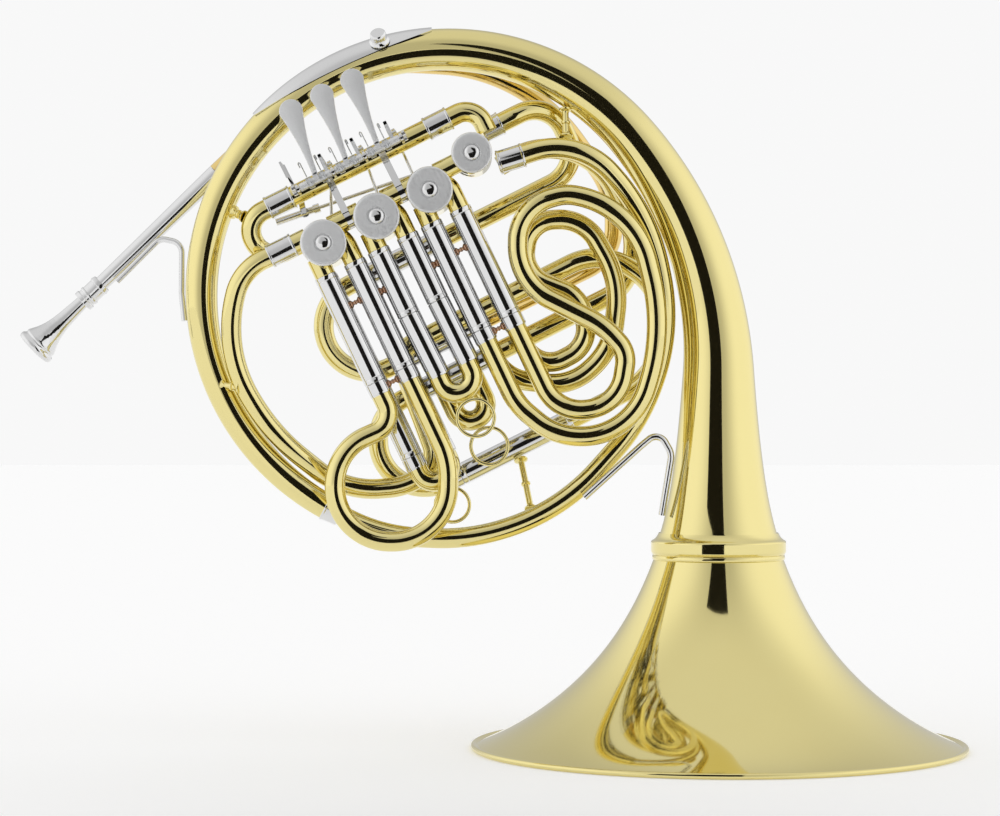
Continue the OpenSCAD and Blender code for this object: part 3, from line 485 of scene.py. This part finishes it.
def ferrules(bm):
    """Turned ferrules where tubes meet, and one on the main tube at the change valve."""
    for a0, a1, y, b in ((-34, -17, FY, 8), (-22, -5, -10, 36), (88, 104, -10, 36), (119.3, 132, 3.4, 20)):
        n = a1 - a0
        lathe(bm, at(a0, y, b), AX, [
            (6.35, 0), (7.5, 0), (7.6, 0.2), (7.6, 1.1), (7.45, 1.4), (7.2, 1.5), (7.2, n - 1.5),
            (7.45, n - 1.4), (7.6, n - 1.1), (7.6, n - 0.2), (7.5, n), (6.35, n)])
    p, q = Vector((-137.6, -19, 364.12)), Vector((-122, -19, 368.99))
    n = (q - p).length
    lathe(bm, p, q - p, [
        (6.35, 0), (7.5, 0), (7.6, 0.2), (7.6, 1.1), (7.2, 1.5), (7.2, n - 1.5), (7.6, n - 1.1),
        (7.6, n - 0.2), (7.5, n), (6.35, n)])


piece("ferrule_set", "nickel_ferrules", NICKEL, ferrules)


# ---------- valves ----------
def caps(bm):
    for a, b, r, y in VALVES:
        r += 0.3
        lathe(bm, at(a, y, b), -BACK, [
            (0, 0), (r - 0.2, 0), (r, 0.2), (r, 1.9), (r - 0.12, 2.3), (r - 0.5, 2.75), (r - 1.1, 2.95),
            (r - 2, 3), (6.1, 3.02), (5.5, 3), (5.3, 2.9), (5.2, 2.5), (0, 2.5)], 72)


def bosses(bm):
    for a, b, r, y in VALVES:
        lathe(bm, at(a, y, b), -BACK, [
            (0, 2.52), (4.75, 2.52), (4.8, 3.1), (4.6, 3.6), (4.1, 4.15), (3.4, 4.55), (2.4, 4.8),
            (1.2, 4.88), (0, 4.9)], 56)


piece("valve_cap_set", "valve_caps", SATIN, caps)
piece("valve_cap_bosses", "valve_caps", NICKEL, bosses)

KNUCKLE = -18  # the b where the sleeves leave the valve knuckles
LEG_L, LEG_R = -8.2, 11.8  # the a of a slide's two legs, from its valve's centre
FOOT = 6.8  # from a sleeve's centre line to the foot of a brace on it


def sleeves(y, ends):
    """Both sleeves of three slides in one plane, down to the given ends."""
    def build(bm):
        for i in range(3):
            for leg in (LEG_L, LEG_R):
                a = i * PITCH + leg
                sleeve(bm, at(a, y, KNUCKLE), at(a, y, ends[i] + 0.3))
    return build


piece("f_sleeve_set", "f_valve_sleeves", NICKEL, sleeves(FY, (-91, -63, -91)))
piece("bflat_sleeve_set", "bflat_valve_sleeves", NICKEL, sleeves(BY, (-142, -91, -91)))


# ---------- slides ----------
def slide(name, node, a0, a1, y, top, joint, low, route, extra=()):
    """A valve slide: two inner legs from top to joint, their ferrules down to low, and the brass crook."""
    n = joint - low

    def legs(bm):
        for a in (a0, a1):
            rod(bm, at(a, y, top), at(a, y, joint + 0.02), INNER)
            lathe(bm, at(a, y, joint), -UP, [
                (INNER, 0), (6.8, 0), (SLEEVE, 0.2), (SLEEVE, n - 1), (6.8, n - 0.5), (6.8, n), (TUBE, n)])
    piece(name + "_legs", node, NICKEL, legs)
    piece(name + "_crook", node, BRASS, lambda bm: tube(bm, route, sides=40), *extra)


def brace(bm, p, q):
    """A small turned brace with flared feet and a bead at its middle."""
    n = (q - p).length
    mid = n / 2
    lathe(bm, p, q - p, [
        (0, 0), (2.2, 0), (2.6, 0.2), (2.4, 0.8), (1.8, 1.3), (1.3, 1.7), (1.1, 2.2),
        (1.1, mid - 0.8), (1.6, mid), (1.1, mid + 0.8),
        (1.1, n - 2.2), (1.3, n - 1.7), (1.8, n - 1.3), (2.4, n - 0.8), (2.6, n - 0.2), (2.2, n), (0, n)], 24)


def braced(name, node, *pairs):
    def build(bm):
        for p, q in pairs:
            brace(bm, p, q)
    piece(name, node, BRONZE, build)


def return_bend(a0, a1, y, low, turn):
    """The route of a plain U bend from one leg to the other."""
    r = (a1 - a0) / 2 - 0.02
    return [wf(a0, y, low), wf(a0, y, turn, r), wf(a1, y, turn, r), wf(a1, y, low)]


def pull_ring(a, y, b, r):
    """A wire ring soldered to the front of a slide's bend."""
    return lambda bm: ring(bm, at(a, y - TUBE + 0.6, b), BACK, r, 1.1)


def legs_at(i):
    """The a of both legs of valve i's slides."""
    return i * PITCH + LEG_L, i * PITCH + LEG_R


a0, a1 = legs_at(0)
slide("f1", "f_slide_1", a0, a1, FY, -34, -91, -99, [
    wf(a0, FY, -99), wf(a0, FY, -119, 13), (-237, FY, 187, 32), (-241, FY, 130, 34), (-169, FY, 130, 34),
    wf(a1, FY, -154, 50), wf(a1, FY, -99)])
braced("f1_brace", "f_slide_1", (at(a0 + FOOT, FY, -95), at(a1 - FOOT, FY, -95)))
slide("b1", "bflat_slide_1", a0, a1, BY, -80, -142, -150, return_bend(a0, a1, BY, -150, -163),
      [pull_ring(a0 + 10, BY, -180, 10.6)])
a0, a1 = legs_at(1)
slide("f2", "f_slide_2", a0, a1, FY, -24, -63, -105, return_bend(a0, a1, FY, -105, -120),
      [pull_ring(a0 + 10, FY, -138, 11.5)])
slide("b2", "bflat_slide_2", a0, a1, BY, -34, -91, -99, return_bend(a0, a1, BY, -99, -139),
      [pull_ring(a0 + 10, BY, -157.5, 11.5)])
a0, a1 = legs_at(2)
slide("f3", "f_slide_3", a0, a1, FY, -34, -91, -99, [
    wf(a0, FY, -99), wf(a0, FY, -142, 40), (-102, FY, 195, 42), (-55, FY, 195, 42), (-35, FY, 261, 122),
    (-54, FY, 337, 55), (-96, FY, 345, 28), (-125, FY, 337, 28), (-126, FY, 290, 37), (-72, FY, 263, 50),
    (-58, FY, 247, 18), (-63, FY, 214, 25), wf(a1, FY, -158, 25), wf(a1, FY, -99)])
braced("f3_brace", "f_slide_3", (at(a0 + FOOT, FY, -95), at(a1 - FOOT, FY, -95)))
slide("b3", "bflat_slide_3", a0, a1, BY, -34, -91, -99, [
    wf(a0, BY, -99), wf(a0, BY, -124, 25), (-92, BY, 226, 35), (-67, BY, 249, 43), (-62, BY, 292, 58),
    (-84, BY, 331, 27), (-118, BY, 329, 18), (-123, BY, 296, 20), (-87, BY, 282, 21), (-80, BY, 252, 19),
    wf(a1, BY, -130, 18), wf(a1, BY, -99)])

LEG_TOP, LEG_JOINT, BOW_START, BOW_END = 52, 13.7, 5, -27  # along the row of valves


def back_slide(name, node, up_b, low_b):
    """A tuning slide at the back: two inner legs, their ferrules, and the bow to the left."""
    def legs(bm):
        for b in (up_b, low_b):
            rod(bm, at(LEG_TOP, KY, b), at(LEG_JOINT, KY, b), INNER)
            lathe(bm, at(LEG_JOINT, KY, b), -AX, [
                (INNER, 0), (6.8, 0), (SLEEVE, 0.2), (SLEEVE, 8), (6.8, 8.7), (TUBE, 8.7)])
    r = (up_b - low_b) / 2 - 0.03
    piece(name + "_legs", node, NICKEL, legs)
    piece(name + "_bow", node, BRASS, lambda bm: tube(bm, [
        wf(BOW_START, KY, up_b), wf(BOW_END, KY, up_b, r), wf(BOW_END, KY, low_b, r),
        wf(BOW_START, KY, low_b)], sides=40))


back_slide("main_tuning", "main_tuning_slide", A_UP, A_LOW)
back_slide("f_tuning", "f_tuning_slide", T_UP, T_LOW)

# ---------- mouthpiece ----------
RIM_SHAPE = [(8.6, 0.9), (8.9, 0.5), (9.4, 0.15), (10.2, 0), (11.1, 0.03), (11.9, 0.35), (12.4, 0.9),
             (12.65, 1.6), (12.7, 2.4), (12.55, 3.2), (12.1, 3.9), (11.4, 4.5)]
CUP_OUTSIDE = [(11.05, 5.1), (10.95, 5.7), (11.15, 6.2), (11.2, 6.6), (11.05, 7.2), (10.6, 8), (9.6, 10),
               (8.6, 12), (7.7, 14.4), (6.9, 17), (6.2, 20), (5.7, 23), (5.3, 26.5), (5, 30), (4.8, 33)]
SHANK = [(4.6, 36), (4.35, 40), (4.2, 43.2), (4.2, 56.6), (3.4, 56.6)]
CUP_INSIDE = [(2.4, 36), (2.2, 30), (2.7, 26), (3.6, 22), (4.8, 17), (6.2, 12), (7.2, 8), (8, 5), (8.4, 2.5),
              (8.6, 0.9)]
piece("mouthpiece_skin", "mouthpiece", NICKEL,
      lambda bm: lathe(bm, RIM_C, PIPE, RIM_SHAPE + CUP_OUTSIDE + SHANK + CUP_INSIDE, 80))

# ---------- stay, braces ----------
STAY = [(-84, -10, 157, 0), (-49, -14, 189, 14), (-38, -14, 198, 6.5), (-30, -14, 184, 11),
        (-36, -10, 146, 0)]
piece("stay_wire", "bell_stay", NICKEL, lambda bm: tube(bm, STAY, 2.2, 24, 5))

# Braces: across a slide's sleeves, from slide to slide, from front to back, and between the tuning slides
pairs = [(at(legs_at(i)[0] + FOOT, FY, -41), at(legs_at(i)[1] - FOOT, FY, -41)) for i in (0, 2)]
pairs += [(at(legs_at(i)[1] + FOOT, FY, -42), at(legs_at(i + 1)[0] - FOOT, FY, -42)) for i in (0, 1)]
pairs += [(at(legs_at(i)[0], FY + 6.7, -50), at(legs_at(i)[0], BY - 6.7, -50)) for i in range(3)]
pairs += [(at(a, KY, A_LOW - FOOT), at(a, KY, T_UP + FOOT)) for a in (24, 52)]
braced("slide_brace_set", "slide_braces", *pairs)

POST = 2.0  # a post's radius
POSTS = [((-302.9, -2, 334.8), (-295.6, -7, 331.5)), ((-123.4, 22, 180.2), (-117.2, 4, 149.4)),
         ((-95.5, -9, 381), (-95.8, -4, 399)), ((-297, -13, 225), (-309, -6, 227))]


def post(bm, p, q):
    """A turned post with flared feet and a bead at its middle."""
    n = (q - p).length
    mid = n / 2
    shape = [(0, 0), (2.1, 0), (2.2, 0.3), (2.1, 1.2), (1.5, 1.9), (1.1, 2.4), (1, 3),
             (1, mid - 1.1), (1.4, mid - 0.7), (1.5, mid), (1.4, mid + 0.7), (1, mid + 1.1),
             (1, max(mid + 1.2, n - 3)), (1.1, n - 2.2), (1.5, n - 1.7), (1.9, n - 1.1), (2, n - 0.3),
             (1.9, n), (0, n)]
    lathe(bm, p, q - p, [(POST * r, h) for r, h in shape], 32)


def posts(bm):
    for p, q in POSTS:
        post(bm, Vector(p), Vector(q))


piece("post_set", "body_braces", BRASS, posts)

# ---------- levers ----------
AY, AB = -26, 37  # the common axle
# Each lever: the a of its neck, of its paddle's head, of its hinge tube's ends, and of its arm
LEVERS = [(14, 18.4, 1.9, 23.4, 21.6), (35, 39.6, 26.2, 45.2, 43.6), (56.5, 60.4, 48, 70.4, 66.8)]
TIP_Y, TIP_B = 17.5, 46  # where an arm holds its link rod


def knurl(bm, p, q, r, teeth=28):
    """A knurled nut: a ring of fine ridges with bevelled ends."""
    d = (q - p).normalized()
    n = (q - p).length
    s = side_of(d)
    m = d.cross(s)
    rings = [[bm.verts.new(p * MM)]]
    for h, k in ((0, 0.85), (n * 0.12, 1), (n * 0.88, 1), (n, 0.85)):
        rings.append([])
        for j in range(teeth * 2):
            w = pi * j / teeth
            rr = r * k * (1 if j % 2 else 0.93)
            rings[-1].append(bm.verts.new((p + d * h + (s * cos(w) + m * sin(w)) * rr) * MM))
    rings.append([bm.verts.new(q * MM)])
    skin(bm, rings)


def axle(bm):
    rod(bm, at(-3.4, AY, AB), at(75.4, AY, AB), 1.5)
    knurl(bm, at(-3.2, AY, AB), at(-0.4, AY, AB), 3.4)
    knurl(bm, at(72.8, AY, AB), at(75.2, AY, AB), 3.4)


piece("axle_rod", "lever_axle", NICKEL, axle, angle=20)

COIL_R, COIL_LEN, COIL_TURNS = 3.4, 3.4, 5
COILS = (9.2, 18.1, 29.9, 39.6, 51.4, 61.8)  # the a of each coil's middle
# The a of each hooked wire, and how far and which way its hook reaches
HOOKS = ((8.8, -1), (18.4, 0.7), (29.8, -1), (39.8, 0.7), (51, -1), (62, 0.7))


def springs(bm):
    """Coils round the hinge tubes, each with a wire that stands up and ends in a hook."""
    n = COIL_TURNS * 28
    for a in COILS:
        path = []
        for k in range(n + 1):
            w = 2 * pi * COIL_TURNS * k / n
            c = at(a - COIL_LEN / 2 + COIL_LEN * k / n, AY, AB) + (BACK * -cos(w) + UP * sin(w)) * COIL_R
            round_step = (BACK * sin(w) + UP * cos(w)) * (COIL_R * 2 * pi * COIL_TURNS / n)
            path.append((c, (AX * (COIL_LEN / n) + round_step).normalized()))
        sweep(bm, path, 0.4, 10)
    for a, h in HOOKS:
        tube(bm, [wf(a, AY, AB + 4), wf(a, AY, AB + 13.4, 0.6), wf(a + 0.6 * h, AY, AB + 14.6, 0.4),
                  wf(a + 1.3 * h, AY, AB + 13.6, 0.4), wf(a + 1.2 * h, AY, AB + 11)], 0.38, 10, 12)


piece("spring_set", "lever_springs", SPRING, springs)

HEAD_Z, HEAD_R, NECK_Z, NECK_R = 44.5, 7.4, 3, 1.7  # a paddle's round head and its neck


def paddle(bm, a, head):
    """The teardrop plate of a finger lever, with a rounded edge."""
    lean = math.atan((head - a) / HEAD_Z)
    o = at(a, AY - 2.4, AB)
    ex = AX * cos(lean) - UP * sin(lean)
    ez = UP * cos(lean) + AX * sin(lean)
    edge = [(NECK_R + (HEAD_R - NECK_R) * t ** 1.9, NECK_Z + (HEAD_Z - NECK_Z) * t)
            for t in (k / 24 for k in range(25))]
    top = [(HEAD_R * cos(w), HEAD_Z + HEAD_R * sin(w)) for w in (pi * k / 20 for k in range(1, 20))]
    loop = edge + top + [(-x, z) for x, z in reversed(edge)]
    rows = []
    for inset, y in ((0.5, 0), (0, -0.25), (0, -1.15), (0.18, -1.4), (0.6, -1.5)):
        row = []
        for x, z in loop:
            f = 1 - inset / (HEAD_R if z > HEAD_Z - 0.5 else abs(x))
            zz = z if z <= HEAD_Z else HEAD_Z + (z - HEAD_Z) * f
            row.append(bm.verts.new((o + ex * (x * f) + ez * zz + BACK * y) * MM))
        rows.append(row)
    skin(bm, rows)
    bm.faces.new(list(reversed(rows[0])))
    bm.faces.new(rows[-1])


def finger(i):
    """A finger lever: hinge tube, paddle, and the bent arm with its crank pin."""
    a, head, h0, h1, arm = LEVERS[i]
    n = h1 - h0

    def build(bm):
        lathe(bm, at(h0, AY, AB), AX, [
            (1.55, 0), (2.4, 0), (2.6, 0.2), (2.6, n - 0.2), (2.4, n), (1.55, n)], 40)
        paddle(bm, a, head)
        o, t = tilted(a, AB)
        block(bm, (-1.7, AY - 3.9, -0.5), (3.4, 1.9, 4.6), o, t)
        o, t = tilted(arm, 0)
        block(bm, (-1.1, AY - 1.4, AB + 1.9), (2.2, 3.4, 11.6), o, t)
        block(bm, (-1.1, AY - 1.4, AB + 11), (2.2, TIP_Y - AY + 2.4, 2.5), o, t)
        block(bm, (-1.1, TIP_Y - 2, TIP_B - 1.4), (2.2, 3, 5), o, t)
        rod(bm, at(arm - 0.5, TIP_Y, TIP_B), at(arm + 4.4, TIP_Y, TIP_B), 1.1)
    piece(f"finger_lever_{i + 1}_plate", f"finger_lever_{i + 1}", SATIN, build)


for i in range(3):
    finger(i)

# ---------- the CAD nodes that stay ----------
KEEP = {"valve_bearings": BRASS, "valve_knuckles": BRASS, "lever_posts": NICKEL, "lever_straps": NICKEL,
        "thumb_lever": NICKEL, "stop_corks": CORK}
for i in range(1, len(VALVES) + 1):
    KEEP.update({f"valve_casing_{i}": BRASS, f"rotor_{i}": BRASS, f"stop_arm_{i}": NICKEL,
                 f"link_rod_{i}": NICKEL})
for n, m in KEEP.items():
    for s in nodes[n].material_slots:
        s.material = m
    if not nodes[n].material_slots:
        nodes[n].data.materials.append(m)

# ---------- stage ----------
WHITE = (1, 1, 1, 1)


def stage_object(name, corners, color):
    """A flat matt piece of the studio."""
    mesh = bpy.data.meshes.new(name)
    mesh.from_pydata(corners, [], [tuple(range(len(corners)))])
    ob = bpy.data.objects.new(name, mesh)
    bpy.context.scene.collection.objects.link(ob)
    material = bpy.data.materials.new(name)
    material.use_nodes = True
    bsdf = material.node_tree.nodes["Principled BSDF"]
    bsdf.inputs["Base Color"].default_value = color
    bsdf.inputs["Roughness"].default_value = 0.9
    bsdf.inputs["Specular IOR Level"].default_value = 0.1
    mesh.materials.append(material)
    return ob, bsdf


FLOOR_REACH, FLOOR_DROP, FLOOR_GLOW = 9, 0.0002, 0.24
floor, floor_bsdf = stage_object(
    "floor", [(x * FLOOR_REACH, y * FLOOR_REACH, 0) for x, y in ((-1, -1), (1, -1), (1, 1), (-1, 1))],
    (0.9, 0.9, 0.9, 1))
floor.location.z = -FLOOR_DROP
floor_bsdf.inputs["Emission Color"].default_value = WHITE
floor_bsdf.inputs["Emission Strength"].default_value = FLOOR_GLOW

# The dark slit in the front of a light tent, left out of what the camera itself sees
SLIT_Y = -0.5
slit, _ = stage_object("card", [(x, SLIT_Y, z) for x, z in (
    (-0.31, 0.0), (0.04, 0.0), (0.05, 0.3), (0.1, 0.68), (-0.22, 0.68), (-0.16, 0.5), (-0.12, 0.42),
    (-0.29, 0.36))], (0.012, 0.011, 0.01, 1))
slit.visible_camera = False

world = bpy.data.worlds.new("studio")
bpy.context.scene.world = world
world.use_nodes = True
tree = world.node_tree
background = tree.nodes["Background"]
coords = tree.nodes.new("ShaderNodeTexCoord")
split = tree.nodes.new("ShaderNodeSeparateXYZ")
tree.links.new(coords.outputs["Generated"], split.inputs["Vector"])


def fade(source, lo, hi, out0, out1):
    """A smooth change from out0, where the source is lo, to out1, where it is hi."""
    n = tree.nodes.new("ShaderNodeMapRange")
    n.interpolation_type = "SMOOTHSTEP"
    for k, v in (("From Min", lo), ("From Max", hi), ("To Min", out0), ("To Max", out1)):
        n.inputs[k].default_value = v
    tree.links.new(source, n.inputs["Value"])
    return n.outputs["Result"]


def calc(op, a, b=None):
    """A math node on one or two values or sockets."""
    n = tree.nodes.new("ShaderNodeMath")
    n.operation = op
    for i, v in enumerate((a, b)):
        if v is None:
            continue
        if isinstance(v, (int, float)):
            n.inputs[i].default_value = v
        else:
            tree.links.new(v, n.inputs[i])
    return n.outputs[0]


def blend(a, b, share):
    """a where share is 0, b where it is 1."""
    return calc("ADD", calc("MULTIPLY", a, calc("SUBTRACT", 1.0, share)), calc("MULTIPLY", share, b))


# A softly graded white room: dimmer straight ahead and overhead, brighter to the sides
AHEAD, ASIDE, OVERHEAD, BACKDROP = 0.56, 1.08, 0.78, 0.94
side = fade(calc("ABSOLUTE", split.outputs["X"]), 0.15, 0.9, AHEAD, ASIDE)
over = fade(split.outputs["Z"], 0.6, 0.95, 0, 1)
seen = tree.nodes.new("ShaderNodeLightPath").outputs["Is Camera Ray"]
tree.links.new(blend(blend(side, OVERHEAD, over), BACKDROP, seen), background.inputs["Strength"])
background.inputs["Color"].default_value = WHITE

camera_data = bpy.data.cameras.new("camera")
camera = bpy.data.objects.new("camera", camera_data)
bpy.context.scene.collection.objects.link(camera)
camera.location = (-0.1365, -1.812, 0.2125)
camera.rotation_euler = (pi / 2, 0, 0)
camera_data.lens = 104.4
camera_data.sensor_width = 36
camera_data.clip_start = 0.01
camera_data.clip_end = 100
bpy.context.scene.camera = camera
bpy.context.scene.view_settings.view_transform = "Standard"
